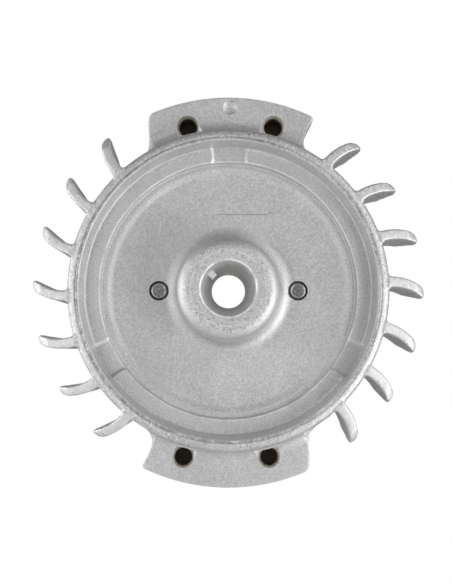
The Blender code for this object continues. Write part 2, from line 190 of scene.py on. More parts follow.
def polar(radius, angle):
    return (radius * math.cos(angle), radius * math.sin(angle))


def arc(radius, start, end, steps, centre=(0.0, 0.0)):
    spokes = [polar(radius, start + (end - start) * i / steps) for i in range(steps + 1)]
    return [(centre[0] + a, centre[1] + b) for a, b in spokes]


def circle(centre, radius, sides):
    return arc(radius, 0.0, TAU, sides, centre)[:-1]


def half_turn(points):
    return [(-x, -z) for x, z in points]


def rectangle(x_low, x_high, z_low, z_high):
    return [(x_low, z_low), (x_high, z_low), (x_high, z_high), (x_low, z_high)]


def box_mm(node):
    low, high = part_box(node)
    return low / MM, high / MM


def make_object(name, bm):
    """An object from a bmesh in millimetres, its faces turned outward."""
    bmesh.ops.recalc_face_normals(bm, faces=bm.faces)
    mesh = bpy.data.meshes.new(name)
    bm.to_mesh(mesh)
    bm.free()
    mesh.transform(Matrix.Scale(MM, 4))
    obj = bpy.data.objects.new(name, mesh)
    bpy.context.scene.collection.objects.link(obj)
    return obj


def add_loft(bm, sections, closed=False):
    """Closed loops of (x, y, z) points joined in order, capped unless the loft closes on itself."""
    loops = [[bm.verts.new(point) for point in section] for section in sections]
    pairs = list(zip(loops, loops[1:]))
    if closed:
        pairs.append((loops[-1], loops[0]))
    for low, high in pairs:
        for i in range(len(low)):
            j = (i + 1) % len(low)
            bm.faces.new((low[i], low[j], high[j], high[i]))
    if not closed:
        bm.faces.new(list(reversed(loops[0])))
        bm.faces.new(loops[-1])


def add_prism(bm, outline, y_front, y_back):
    add_loft(bm, [[(x, y, z) for x, z in outline] for y in (y_front, y_back)])


def add_stack(bm, centre, profile, sides):
    """Circles of (radius, y) about one axis along Y, joined in order and capped."""
    sections = []
    for radius, y in profile:
        sections.append([(x, y, z) for x, z in circle(centre, radius, sides)])
    add_loft(bm, sections)


def add_turned(bm, profile, angles, shape=None):
    """A closed (radius, y) profile turned about the wheel's axis. shape moves a point's y."""
    sections = []
    for angle in angles:
        x, z = polar(1.0, angle)
        section = []
        for r, y in profile:
            depth = shape(r, y, angle) if shape else y
            section.append((r * x, depth, r * z))
        sections.append(section)
    add_loft(bm, sections, closed=True)


def even_angles(sides):
    return [TAU * i / sides for i in range(sides)]


def rounded(corners):
    """A closed outline from (a, b, fillet radius) corners, each corner replaced by an arc."""
    points = []
    count = len(corners)
    for i, (a, b, radius) in enumerate(corners):
        here = Vector((a, b))
        if radius <= 0.0:
            points.append((a, b))
            continue
        before = Vector(corners[i - 1][:2]) - here
        after = Vector(corners[(i + 1) % count][:2]) - here
        half = before.angle(after) / 2.0
        reach = min(radius / math.tan(half), 0.49 * before.length, 0.49 * after.length)
        radius = reach * math.tan(half)
        middle = (before.normalized() + after.normalized()).normalized()
        centre = here + middle * (radius / math.sin(half))
        start = here + before.normalized() * reach - centre
        end = here + after.normalized() * reach - centre
        sweep = math.atan2(start.x * end.y - start.y * end.x, start.dot(end))
        steps = 3 + int(2.0 * radius)
        for k in range(steps + 1):
            spoke = Matrix.Rotation(sweep * k / steps, 2) @ start
            points.append((centre.x + spoke.x, centre.y + spoke.y))
    return points


def bake_modifiers(obj):
    depsgraph = bpy.context.evaluated_depsgraph_get()
    mesh = bpy.data.meshes.new_from_object(obj.evaluated_get(depsgraph))
    obj.modifiers.clear()
    obj.data = mesh
    return obj


def combine(target, operation, tool):
    """Boolean with the manifold solver, which suits these dense closed meshes."""
    modifier = target.modifiers.new("combine", "BOOLEAN")
    modifier.operation = operation
    modifier.solver = "MANIFOLD"
    modifier.object = tool
    bake_modifiers(target)
    bpy.data.objects.remove(tool, do_unlink=True)
    return target


def round_edges(obj, width, segments=2, degrees=40.0):
    bevel = obj.modifiers.new("round", "BEVEL")
    bevel.width = width * MM
    bevel.segments = segments
    bevel.limit_method = "ANGLE"
    bevel.angle_limit = math.radians(degrees)
    bevel.harden_normals = False
    return bake_modifiers(obj)


def smooth_shade(obj, degrees=32.0):
    obj.data.shade_smooth()
    obj.data.set_sharp_from_angle(angle=math.radians(degrees))
    return obj


def smooth_step(value):
    value = min(max(value, 0.0), 1.0)
    return value * value * (3.0 - 2.0 * value)


# ---------------------------------------------------------------- casting: hub, web and inner rim

def core_profile():
    """Hub, web, ledge and the rim's inner part, with their fillets."""
    front = [(BORE_MOUTH_R, 0.0, 0.3), (HUB_R, 0.0, HUB_SHOULDER_R),
             (HUB_ROOT_R, WEB_FRONT_Y, HUB_FILLET_R), (SLOPE_FOOT_R, WEB_FRONT_Y, 2.4),
             (SLOPE_TOP_R, LEDGE_FOOT_Y, 2.4), (GROOVE_R, GROOVE_Y, 0.4), (LAND_INNER_R, LAND_Y, 0.25)]
    for step in (0.35, 0.6, 0.9, 1.2, 1.6, 2.3):
        front.append((LAND_INNER_R + step, LAND_Y + step * LAND_FALL, 0.0))
    land_outer_y = LAND_Y + (LAND_OUTER_R - LAND_INNER_R) * LAND_FALL
    front += [(LAND_OUTER_R, land_outer_y, 0.45), (RIM_INNER_R, RIM_FACE_Y, 0.42), (SEAM_R, RIM_FACE_Y, 0.2)]
    back = [(SEAM_R, 15.2, 0.0), (PAWL_RING_OUTER_R + 0.4, 15.2, 0.0),
            (PAWL_RING_OUTER_R, PAWL_RING_Y, 0.5), (PAWL_RING_INNER_R, PAWL_RING_Y, 0.5),
            (PAWL_RING_INNER_R - 0.3, WEB_BACK_Y, 1.2), (NUT_SEAT_R + 0.5, WEB_BACK_Y, 0.5),
            (NUT_SEAT_R, NUT_SEAT_Y, 0.25), (BORE_END_R, NUT_SEAT_Y, 0.15)]
    return rounded(front + back)


def land_pocket_drop(r, y, angle):
    """Lowers the ledge in its three short pockets, whose ends slope and whose inner corners are round."""
    if y > GROOVE_Y - 0.4 or y < LAND_Y - 1.0 or not LAND_INNER_R - 0.3 < r < LAND_OUTER_R + 0.4:
        return y
    depth = 0.0
    for middle in LAND_POCKET_ANGLES:
        turn = abs((angle - middle + math.pi) % TAU - math.pi)
        corner = max(0.0, 1.3 - (r - LAND_INNER_R))
        inside = (LAND_POCKET_HALF - turn) * r + (corner * corner) / 3.2
        depth = max(depth, smooth_step(inside / POCKET_END_SLOPE))
    floor_y = LAND_POCKET_Y + max(0.0, r - LAND_INNER_R) * LAND_FALL
    return y + depth * max(0.0, floor_y - y)


def core_angles():
    """Even steps round the wheel, with a run of fine steps at each end of each land pocket."""
    angles = even_angles(FINE_SIDES)
    for middle in LAND_POCKET_ANGLES:
        for side in (-1.0, 1.0):
            for k in range(-8, 8):
                angles.append((middle + side * (LAND_POCKET_HALF + k * 0.0045)) % TAU)
    angles.sort()
    return [a for a, b in zip(angles, angles[1:] + [TAU + 1.0]) if b - a > 0.0015]


def casting_core():
    bm = bmesh.new()
    add_turned(bm, core_profile(), core_angles(), shape=land_pocket_drop)
    return make_object("casting_core", bm)


# ---------------------------------------------------------------- casting: outer rim, blades and lugs

def ring_profile():
    """The rim's outer part and the fan's back plate. Its inner side is inside the core."""
    return [(37.5, 7.8), (37.75, 6.9), (38.1, 6.7), (38.6, 6.76), (39.1, 6.94), (39.5, 7.18),
            (39.8, 7.5), (39.98, 8.0), (RIM_OUTER_R, 9.0), (RIM_OUTER_R + 0.1, 15.6), (38.5, 16.8),
            (28.0, WEB_BACK_Y), (28.0, 14.2), (37.5, 14.2)]


def blade_section(tip_angle, radius, y_front, y_back):
    """Corners of a leaning, drafted blade at one radius: flared at the rim, rounded in at the tip."""
    travel = max(0.0, (radius - RIM_OUTER_R) / (BLADE_TIP_R - RIM_OUTER_R))
    middle = tip_angle + BLADE_SWEEP * (1.0 - travel * travel)
    rise = radius - RIM_OUTER_R
    change = 0.0
    if -0.5 < rise < BLADE_FILLET_R:
        lack = BLADE_FILLET_R - max(rise, 0.0)
        change = BLADE_FILLET_R - math.sqrt(BLADE_FILLET_R ** 2 - lack ** 2)
    past = radius - (BLADE_TIP_R - BLADE_TIP_ROUND)
    if past > 0.0:                # not quite a half round, so that the last section keeps a width
        change = 0.93 * (math.sqrt(BLADE_TIP_ROUND ** 2 - 0.97 * past ** 2) - BLADE_TIP_ROUND)
    lean = max(0.0, BLADE_LEAN * (radius - LEAN_START_R))
    span = y_back - y_front
    rows = ((0.0, 0.86), (0.012, 0.97), (0.03, 1.0), (1.0, 1.0))
    corners = []
    for side in (1, -1):          # the clockwise side is rounded in less at the tip
        grown = change if side == 1 or change > 0.0 else 0.45 * change
        for share, fullness in (rows if side == 1 else reversed(rows)):
            y = y_front + span * share
            depth = (y - RIM_FACE_Y) / (WHEEL_BACK_Y - RIM_FACE_Y)
            width = (BLADE_FRONT_T + (BLADE_BACK_T - BLADE_FRONT_T) * depth) * fullness
            shift = (side * (0.5 * width + grown) - lean * depth) / radius
            x, z = polar(radius, middle + shift)
            corners.append((x, y, z))
    return corners


def blade_front_y(radius):
    """Front edge of a blade: it slopes back from the rim, then more steeply in a facet at the tip."""
    share = (radius - RIM_OUTER_R) / (BLADE_TIP_R - RIM_OUTER_R)
    facet = max(0.0, (share - TIP_FACET_START) / (1.0 - TIP_FACET_START)) ** 1.1
    return BLADE_FRONT_Y + BLADE_FRONT_FALL * share + TIP_FACET_FALL * facet


def blade_back_y(radius):
    cut = max(0.0, (radius - BLADE_CUT_R) / (BLADE_TIP_R - BLADE_CUT_R))
    return WHEEL_BACK_Y + (BLADE_TIP_BACK_Y - WHEEL_BACK_Y) * cut


def add_blade(bm, tip_angle, full):
    stations = [(BLADE_INNER_R, 16.0, 23.8), (29.5, 16.0, 25.2), (31.0, 16.0, 26.6),
                (33.0, 16.0, WHEEL_BACK_Y)]
    if full:
        stations += [(36.0, 16.0, WHEEL_BACK_Y), (38.9, 15.0, WHEEL_BACK_Y), (39.2, 7.1, WHEEL_BACK_Y)]
        first = RIM_OUTER_R - 0.3
        last = BLADE_STATIONS - 1
        for i in range(BLADE_STATIONS):
            radius = first + (BLADE_TIP_R - first) * i / last
            front = blade_front_y(max(radius, RIM_OUTER_R))
            stations.append((radius, front, max(blade_back_y(radius), front + 0.9)))
    else:
        stations.append((LUG_INNER_R + 1.0, 16.0, WHEEL_BACK_Y - 0.5))
    add_loft(bm, [blade_section(tip_angle, *station) for station in stations])


def lug_outline():
    start, end = LUG_CORNERS
    foot = arc(LUG_INNER_R, math.radians(127.0), math.radians(55.0), 12)
    return LUG_RIGHT_SIDE + arc(OUTER_R - 0.05, start, end, 30) + LUG_LEFT_SIDE + foot


def lug_fillet_profile():
    """Section of the hollow fillet between the rim's outer wall and the lug's face."""
    centre = (RIM_OUTER_R - 0.2 + LUG_FILLET_R, LUG_FACE_Y - LUG_FILLET_R)
    hollow = arc(LUG_FILLET_R, math.pi, 0.5 * math.pi, 8, centre)
    return [(38.6, 8.0), (39.9, 8.2)] + hollow + [(centre[0], 15.6), (38.6, 15.6)]


def add_lug_fillet(bm, start, end):
    sections = []
    for i in range(31):
        x, z = polar(1.0, start + (end - start) * i / 30)
        sections.append([(r * x, y, r * z) for r, y in lug_fillet_profile()])
    add_loft(bm, sections)


def fan_parts():
    """Closed shells that overlap: the remesh makes one skin of them."""
    bm = bmesh.new()
    add_turned(bm, ring_profile(), even_angles(FINE_SIDES))
    for first_angle in (LEFT_TIP_ANGLE, RIGHT_TIP_ANGLE):
        for place in range(BLADE_PLACES // 2):
            add_blade(bm, first_angle + place * BLADE_PITCH, full=place < BLADES_PER_SIDE)
    far_lug = [(x * FAR_LUG_SCALE, z * FAR_LUG_SCALE) for x, z in half_turn(lug_outline())]
    for outline in (lug_outline(), far_lug):
        add_prism(bm, outline, LUG_FACE_Y, LUG_BACK_Y)
    for turn in (0.0, math.pi):
        add_lug_fillet(bm, turn + LUG_FILLET_ENDS[0], turn + LUG_FILLET_ENDS[1])
    return make_object("casting_fan", bm)


def casting_fan():
    """Blades, lugs and back plate as one skin with the round edges and inner fillets of a casting."""
    fan = fan_parts()
    grid = fan.modifiers.new("skin", "REMESH")
    grid.mode = "VOXEL"
    grid.voxel_size = VOXEL * MM
    grid.use_smooth_shade = True
    rub = fan.modifiers.new("rub", "SMOOTH")
    rub.factor = 0.5
    rub.iterations = 5
    bake_modifiers(fan)
    full_count = sum(len(polygon.vertices) - 2 for polygon in fan.data.polygons)
    thin = fan.modifiers.new("thin", "DECIMATE")
    thin.ratio = min(1.0, SKIN_TRIANGLES / full_count)
    return bake_modifiers(fan)


# ---------------------------------------------------------------- casting: key, stops and openings

def add_key(casting):
    bm = bmesh.new()
    along = Vector(polar(1.0, KEY_ANGLE))
    aside = Vector((-along.y, along.x)) * (0.5 * KEY_WIDTH)
    outer = along * (BORE_MOUTH_R + 1.0)
    sections = []
    for y, top_r, shrink in ((KEY_START_Y, KEY_TOP_R + 0.35, 0.9), (KEY_START_Y + 0.35, KEY_TOP_R, 1.0),
                             (KEY_END_Y, KEY_TOP_R - 0.1, 1.0)):
        inner = along * top_r
        corners = [inner + aside * shrink, inner - aside * shrink, outer - aside, outer + aside]
        sections.append([(c.x, y, c.y) for c in corners])
    add_loft(bm, sections)
    return combine(casting, "UNION", make_object("key_tool", bm))


def pawl_point(u, v, swing=0.0):
    """A plan point from its place along and across the right pawl's arm, swung outwards."""
    pivot = Vector((PIVOT_R, 0.0))
    along = (Vector(polar(PAWL_TIP_R, PAWL_TIP_ANGLE)) - pivot).normalized()
    across = Vector((along.y, -along.x))
    turned = Matrix.Rotation(-swing, 2) @ (along * u + across * v)
    return (pivot.x + turned.x, pivot.y + turned.y)


def stop_post_centre():
    return pawl_point(8.0, 3.05 + STOP_POST_R, PAWL_SWING)


def add_stops(casting):
    """The pawls' cast stops: a tapering post and a heel pad for each."""
    heel = [pawl_point(-8.0, 2.8), pawl_point(-4.9, 2.8), pawl_point(-4.4, 4.6)]
    heel += arc(PAWL_RING_INNER_R + 1.0, math.radians(3.0), math.radians(-8.0), 8)
    bm = bmesh.new()
    for outline in (heel, half_turn(heel)):
        add_prism(bm, outline, WEB_BACK_Y - 1.0, STOP_Y)
    pads = round_edges(make_object("pad_tool", bm), 0.35, 3)
    combine(casting, "UNION", pads)
    bm = bmesh.new()
    for centre in (stop_post_centre(), half_turn([stop_post_centre()])[0]):
        profile = [(STOP_POST_R + 1.0, WEB_BACK_Y - 0.5), (STOP_POST_R + 0.9, WEB_BACK_Y),
                   (STOP_POST_R + 0.3, WEB_BACK_Y + 0.25), (STOP_POST_R + 0.05, WEB_BACK_Y + 0.8),
                   (STOP_POST_R, STOP_Y - 0.5), (STOP_POST_R - 0.12, STOP_Y - 0.15),
                   (STOP_POST_R - 0.45, STOP_Y)]
        add_stack(bm, centre, profile, 36)
    return combine(casting, "UNION", make_object("post_tool", bm))


def cut_pockets(casting):
    """Beds of the four packs, open at the wheel's outside, and the magnet's bed between two of them."""
    bm = bmesh.new()
    for pack in ("pole_left", "pole_right", "balance_left", "balance_right"):
        low, _ = box_mm(f"{pack}_plate_1")
        _, high = box_mm(f"{pack}_plate_7")
        z_low = low.z - BED_GAP
        z_high = OUTER_R + 3.0
        if low.z < 0.0:
            z_low = -OUTER_R - 3.0
            z_high = high.z + BED_GAP
        outline = rectangle(low.x - BED_GAP, high.x + BED_GAP, z_low, z_high)
        add_prism(bm, outline, low.y - BED_GAP, high.y + BED_GAP)
    combine(casting, "DIFFERENCE", make_object("pocket_tool", bm))
    low, high = box_mm("ignition_magnet")
    half = high.x + 1.0
    bm = bmesh.new()
    outline = rectangle(-half, half, low.z - BED_GAP, high.z + BED_GAP)
    add_prism(bm, outline, low.y - BED_GAP, high.y + BED_GAP)
    return combine(casting, "DIFFERENCE", make_object("magnet_bed_tool", bm))


def cut_holes(casting):
    bm = bmesh.new()
    mouth_step = [(LUG_HOLE_MOUTH_R + 1.2, LUG_FACE_Y - 1.0), (LUG_HOLE_MOUTH_R + 0.14, LUG_FACE_Y),
                  (LUG_HOLE_MOUTH_R, LUG_FACE_Y + 0.2), (LUG_HOLE_R + 0.1, 17.0), (LUG_HOLE_R, 18.2)]
    for centre in LUG_HOLES + half_turn(LUG_HOLES):
        add_stack(bm, centre, mouth_step, 44)
    thread_hole = [(THREAD_HOLE_R + 0.3, WEB_FRONT_Y - 0.3), (THREAD_HOLE_R, WEB_FRONT_Y + 0.15),
                   (THREAD_HOLE_R, WEB_BACK_Y - 0.2), (THREAD_HOLE_R + 0.4, WEB_BACK_Y + 0.3)]
    for x in (-PIVOT_R, PIVOT_R):
        add_stack(bm, (x, 0.0), thread_hole, 44)
    dimple = [(DIMPLE_R, LUG_FACE_Y - 1.0)]
    for width, depth in arc(1.0, 0.0, 0.5 * math.pi, 7):
        dimple.append((max(0.02, DIMPLE_R * width), LUG_FACE_Y - 0.03 + DIMPLE_DEPTH * depth))
    add_stack(bm, DIMPLE_CENTRE, dimple, 36)
    return combine(casting, "DIFFERENCE", make_object("hole_tool", bm))


def witness_path():
    """The rounded outline that a die insert left on the web, upper right of the hub."""
    left, right, low, high, radius = WITNESS
    path = [(left + (right - radius - left) * i / 12, low) for i in range(13)]
    path += arc(radius, -0.5 * math.pi, 0.0, 8, (right - radius, low + radius))[1:]
    path += [(right, low + radius + (high - low - radius) * i / 6) for i in range(1, 7)]
    return path


def cut_witness(casting):
    """A hair-fine groove along the witness outline, and a casting pit low on the rim."""
    path = [Vector((x, 0.0, z)) for x, z in witness_path()]
    bm = bmesh.new()
    sections = []
    last = len(path) - 1
    for i, point in enumerate(path):
        forward = (path[min(i + 1, last)] - path[max(i - 1, 0)]).normalized()
        aside = Vector((-forward.z, 0.0, forward.x)) * WITNESS_HALF_WIDTH
        section = []
        for share, y in ((-1.0, WEB_FRONT_Y - 0.5), (1.0, WEB_FRONT_Y - 0.5), (1.0, WEB_FRONT_Y),
                         (0.0, WEB_FRONT_Y + WITNESS_DEPTH), (-1.0, WEB_FRONT_Y)):
            place = point + aside * share
            section.append((place.x, y, place.z))
        sections.append(section)
    add_loft(bm, sections)
    combine(casting, "DIFFERENCE", make_object("witness_tool", bm))
    bm = bmesh.new()
    bmesh.ops.create_icosphere(bm, subdivisions=3, radius=1.0)
    squeeze = Matrix.LocRotScale(PIT_CENTRE, Matrix.Rotation(0.5, 3, "Y"), Vector((1.0, 0.7, 0.45)))
    bmesh.ops.transform(bm, matrix=squeeze, verts=bm.verts)
    return combine(casting, "DIFFERENCE", make_object("pit_tool", bm))


def build_casting():
    casting = casting_core()
    casting.name = "cast_wheel"
    combine(casting, "UNION", casting_fan())
    add_key(casting)
    add_stops(casting)
    cut_pockets(casting)
    cut_holes(casting)
    cut_witness(casting)
    return smooth_shade(casting)


# ---------------------------------------------------------------- steel pieces

def pack_plate(name, node, centre):
    """One punched plate of a pack: a round outer face, rounded corners and a clean hole."""
    low, high = box_mm(node)
    sign = 1.0 if low.z > 0.0 else -1.0
    foot_z = low.z if sign > 0.0 else high.z
    face_r = math.hypot(max(abs(low.z), abs(high.z)), min(abs(low.x), abs(high.x)))
    outline = [(low.x, foot_z), (high.x, foot_z)]
    steps = 16
    for i in range(steps + 1):
        x = high.x + (low.x - high.x) * i / steps
        outline.append((x, sign * math.sqrt(face_r ** 2 - x ** 2)))
    bm = bmesh.new()
    add_prism(bm, outline, low.y, high.y)
    plate = make_object(name, bm)
    bm = bmesh.new()
    add_prism(bm, circle(centre, LUG_HOLE_R, 44), low.y - 1.0, high.y + 1.0)
    combine(plate, "DIFFERENCE", make_object("punch_tool", bm))
    return smooth_shade(round_edges(plate, 0.09, 2), 50.0)


def screw(name, sign):
    """Shoulder screw: dog point, rolled thread, shoulder and a low head with a hexagon socket."""
    low, high = box_mm(f"pawl_screw_{'right' if sign > 0 else 'left'}")
    front, back = low.y, high.y
    shoulder_y = WEB_BACK_Y + 0.3
    head_y = back - 2.2
    centre = (sign * PIVOT_R, 0.0)
    profile = [(SCREW_POINT_R - inset, front + depth) for inset, depth in POINT_LIP]
    y = front + 1.25
    while y < shoulder_y - 0.6:
        profile += [(THREAD_R - inset, y + rise) for inset, rise in THREAD_FORM]
        y += 0.54
    profile += [(THREAD_R - 0.3, shoulder_y), (SHOULDER_R - 0.15, shoulder_y),
                (SHOULDER_R, shoulder_y + 0.15), (SHOULDER_R, head_y), (SCREW_HEAD_R - 0.15, head_y),
                (SCREW_HEAD_R, head_y + 0.2), (SCREW_HEAD_R, back - 0.75), (SCREW_HEAD_R - 0.1, back - 0.4),
                (SCREW_HEAD_R - 0.35, back - 0.12), (SCREW_HEAD_R - 0.75, back)]
    bm = bmesh.new()
    add_stack(bm, centre, profile, 56)
    made = make_object(name, bm)
    bm = bmesh.new()
    hexagon = circle(centre, SOCKET_R, 6)
    sections = []
    for grow, y in ((1.22, back + 0.2), (1.02, back - 0.18), (1.0, back - 0.3), (1.0, back - 1.45)):
        ring = []
        for x, z in hexagon:
            ring.append((centre[0] + (x - centre[0]) * grow, y, centre[1] + (z - centre[1]) * grow))
        sections.append(ring)
    add_loft(bm, sections)
    combine(made, "DIFFERENCE", make_object("socket_tool", bm))
    return smooth_shade(made, 28.0)


def pawl_outline():
    """Plan of the right pawl: round boss, arm with a blunt nose, and a heel behind the pivot."""
    boss = [(*polar(PAWL_BOSS_R, math.radians(degrees)), 0.0) for degrees in range(62, 143, 5)]
    heel = [(-5.2, 2.4, 0.5), (-7.4, 2.4, 0.3), (-8.0, 1.6, 0.4), (-7.8, -0.4, 0.7), (-5.6, -1.6, 1.0)]
    under = [(*polar(PAWL_BOSS_R, math.radians(degrees)), 0.0) for degrees in range(216, 300, 6)]
    nose = [(6.6, -2.5, 1.0), (10.6, -2.0, 0.8), (12.2, -1.0, 0.7), (12.4, 0.7, 0.5), (10.9, 2.1, 0.7),
            (8.0, 2.75, 2.0), (5.0, 3.5, 1.0)]
    return [pawl_point(u, v) for u, v in rounded(nose + boss + heel + under)]


def pawl(name, node, place):
    low, high = box_mm(node)
    pivot = place([(PIVOT_R, 0.0)])[0]
    bm = bmesh.new()
    add_prism(bm, place(pawl_outline()), low.y, high.y)
    made = make_object(name, bm)
    bm = bmesh.new()
    add_prism(bm, circle(pivot, PAWL_HOLE_R, 56), low.y - 1.0, high.y + 1.0)
    combine(made, "DIFFERENCE", make_object("pivot_tool", bm))
    return smooth_shade(round_edges(made, 0.22, 3), 50.0)


# ---------------------------------------------------------------- pawl springs

def tangent_turn(point, radius, leaving):
    """Plan angle where a counter-clockwise circle at the origin meets its tangent through point."""
    reach = math.acos(radius / point.length)
    towards = math.atan2(point.y, point.x)
    return towards - reach if leaving else towards + reach


def spring_path():
    """Wire centre line of the right spring: leg on the stop post, coil, leg hooked on the pawl."""
    pawl_front = box_mm("pawl_right")[0].y
    pivot = Vector((PIVOT_R, 0.0))
    beside_post = Vector((STOP_POST_R + WIRE_R + 0.15, -0.6))
    leg = Vector(stop_post_centre()) - beside_post - pivot
    hook = Vector(pawl_point(8.2, 2.72 + WIRE_R + 0.2)) - pivot
    start = tangent_turn(leg, COIL_R, leaving=False)
    end = tangent_turn(hook, COIL_R, leaving=True)
    sweep = (end - start) % TAU + TAU * COIL_WHOLE_TURNS
    height = COIL_PITCH * sweep / TAU
    steps = round(sweep / math.radians(7.5))
    first = Vector(polar(COIL_R, start))
    last = Vector(polar(COIL_R, end))
    plan = [(leg.lerp(first, i / 6), 0.0) for i in range(6)]
    for i in range(steps + 1):
        plan.append((Vector(polar(COIL_R, start + sweep * i / steps)), height * i / steps))
    plan += [(last.lerp(hook, i / 6), height) for i in range(1, 6)]
    bend_r = 0.55
    towards = (hook - last).normalized()
    for i in range(7):
        turn = 0.5 * math.pi * i / 6
        back = towards * (bend_r * (1.0 - math.sin(turn)))
        plan.append((hook - back, height + bend_r * (1.0 - math.cos(turn))))
    plan.append((hook, pawl_front + 1.6 - COIL_FRONT_Y))
    return [Vector((pivot.x + p.x, COIL_FRONT_Y + rise, pivot.y + p.y)) for p, rise in plan]


def add_wire(bm, path, radius, sides):
    """A round wire swept along the path without twist, its ends slightly rounded."""
    rings = []
    side = None
    last = len(path) - 1
    for i, point in enumerate(path):
        forward = (path[min(i + 1, last)] - path[max(i - 1, 0)]).normalized()
        if side is None:
            side = forward.orthogonal().normalized()
        side = (side - forward * side.dot(forward)).normalized()
        other = forward.cross(side)
        stages = [(0.0, 1.0)]
        if i == 0:
            stages = [(0.0, 0.7), (0.1, 1.0)]
        if i == last:
            stages = [(-0.1, 1.0), (0.0, 0.7)]
        for shift, share in stages:
            ring = []
            for k in range(sides):
                turn = TAU * k / sides
                spoke = side * (radius * share * math.cos(turn)) + other * (radius * share * math.sin(turn))
                ring.append(tuple(point + forward * shift + spoke))
            rings.append(ring)
    add_loft(bm, rings)


def spring(name, sign):
    path = [Vector((sign * p.x, p.y, sign * p.z)) for p in spring_path()]
    bm = bmesh.new()
    add_wire(bm, path, WIRE_R, 14)
    return smooth_shade(make_object(name, bm), 50.0)


# ---------------------------------------------------------------- materials

def add_node(tree, kind, inputs, **settings):
    """A node whose inputs are sockets to link or values to set."""
    node = tree.nodes.new(kind)
    for name, value in settings.items():
        setattr(node, name, value)
    for name, value in inputs.items():
        if isinstance(value, bpy.types.NodeSocket):
            tree.links.new(value, node.inputs[name])
        else:
            node.inputs[name].default_value = value
    return node


class Paint:
    """Builds one material. Most methods add a node and return its output socket."""

    def __init__(self, name, colour, roughness, metallic):
        self.material = bpy.data.materials.new(name)
        self.material.use_nodes = True
        self.tree = self.material.node_tree
        self.shader = self.tree.nodes["Principled BSDF"]
        self.shader.inputs["Base Color"].default_value = (*colour, 1.0)
        self.shader.inputs["Roughness"].default_value = roughness
        self.shader.inputs["Metallic"].default_value = metallic
        self.place = self.add("ShaderNodeTexCoord", {}).outputs["Object"]
        turn = {"Vector": self.place, "Rotation": (0.7, 1.1, 0.4)}
        self.turned = self.add("ShaderNodeMapping", turn).outputs[0]
        axes = self.add("ShaderNodeSeparateXYZ", {"Vector": self.place})
        self.x, self.y, self.z = axes.outputs

    def add(self, kind, inputs, **settings):
        return add_node(self.tree, kind, inputs, **settings)

    def noise(self, feature_mm, detail=3.0, roughness=0.55, place=None):
        inputs = {"Vector": place or self.place, "Scale": 1.0 / (feature_mm * MM), "Detail": detail,
                  "Roughness": roughness}
        return self.add("ShaderNodeTexNoise", inputs).outputs[0]

    def calc(self, operation, a, b):
        return self.add("ShaderNodeMath", {0: a, 1: b}, operation=operation).outputs[0]

    def times(self, first, *others):
        for other in others:
            first = self.calc("MULTIPLY", first, other)
        return first

    def off(self, value, target):
        """How far value is from target, either way."""
        return self.calc("ABSOLUTE", self.calc("SUBTRACT", value, target), 0.0)

    def ramp(self, value, low, high, to_low=0.0, to_high=1.0):
        inputs = {"Value": value, "From Min": low, "From Max": high, "To Min": to_low, "To Max": to_high}
        return self.add("ShaderNodeMapRange", inputs, interpolation_type="SMOOTHSTEP").outputs[0]

    def mix(self, factor, a, b):
        node = self.add("ShaderNodeMix", {0: factor, 6: a, 7: b}, data_type="RGBA")
        return node.outputs[2]

    def distance(self, x, z):
        """Length of the plan vector (x, z); both may be sockets."""
        flat = self.add("ShaderNodeCombineXYZ", {"X": x, "Y": 0.0, "Z": z}).outputs[0]
        return self.add("ShaderNodeVectorMath", {0: flat}, operation="LENGTH").outputs["Value"]

    def near_pair(self, centre):
        """Distance from the nearer of two lines along Y: one through centre, one half a turn on."""
        spans = []
        for operation in ("SUBTRACT", "ADD"):
            x = self.calc(operation, self.x, centre[0] * MM)
            z = self.calc(operation, self.z, centre[1] * MM)
            spans.append(self.distance(x, z))
        return self.calc("MINIMUM", spans[0], spans[1])

    def fade(self, value, start_mm, end_mm, to_low=0.0, to_high=1.0):
        """A ramp between two places given in millimetres."""
        return self.ramp(value, start_mm * MM, end_mm * MM, to_low, to_high)

    def line(self, value, place_mm, full_mm, gone_mm):
        """1 within full_mm of a place, falling to 0 at gone_mm from it."""
        return self.fade(self.off(value, place_mm * MM), gone_mm, full_mm)

    def edges(self, reach_mm, low=0.12, high=0.4):
        """1 on convex edges, which wear and catch the light: rays into the metal soon come out there."""
        inside = self.add("ShaderNodeAmbientOcclusion", {"Distance": reach_mm * MM}, inside=True,
                          only_local=True, samples=6)
        return self.ramp(inside.outputs["AO"], 1.0 - low, 1.0 - high)

    def bump(self, height, distance_mm, strength):
        inputs = {"Height": height, "Distance": distance_mm * MM, "Strength": strength}
        normal = self.add("ShaderNodeBump", inputs).outputs["Normal"]
        self.tree.links.new(normal, self.shader.inputs["Normal"])

    def use(self, socket, value):
        self.tree.links.new(value, self.shader.inputs[socket])


def grey(value, warmth=0.0):
    return (value * (1.0 + warmth), value, value * (1.0 - warmth), 1.0)


def pocket_end_highlight(paint, radius):
    """1 along the sloping ends of the ledge's pockets, apart from the two lowest ends: where a highlight is
    painted.
    """
    angle = paint.calc("ARCTAN2", paint.z, paint.x)
    nearest = 1.0
    for middle in LAND_POCKET_ANGLES:
        middle = (middle + math.pi) % TAU - math.pi
        off_end = paint.off(paint.off(angle, middle), LAND_POCKET_HALF - 0.008)
        nearest = paint.calc("MINIMUM", nearest, off_end)
    on_ledge = paint.times(paint.fade(radius, LAND_INNER_R - 0.1, LAND_INNER_R + 0.2),
                           paint.fade(radius, LAND_OUTER_R + 0.2, LAND_OUTER_R))
    return paint.times(paint.ramp(nearest, 0.018, 0.004), paint.fade(paint.z, -17.0, -15.0), on_ledge)


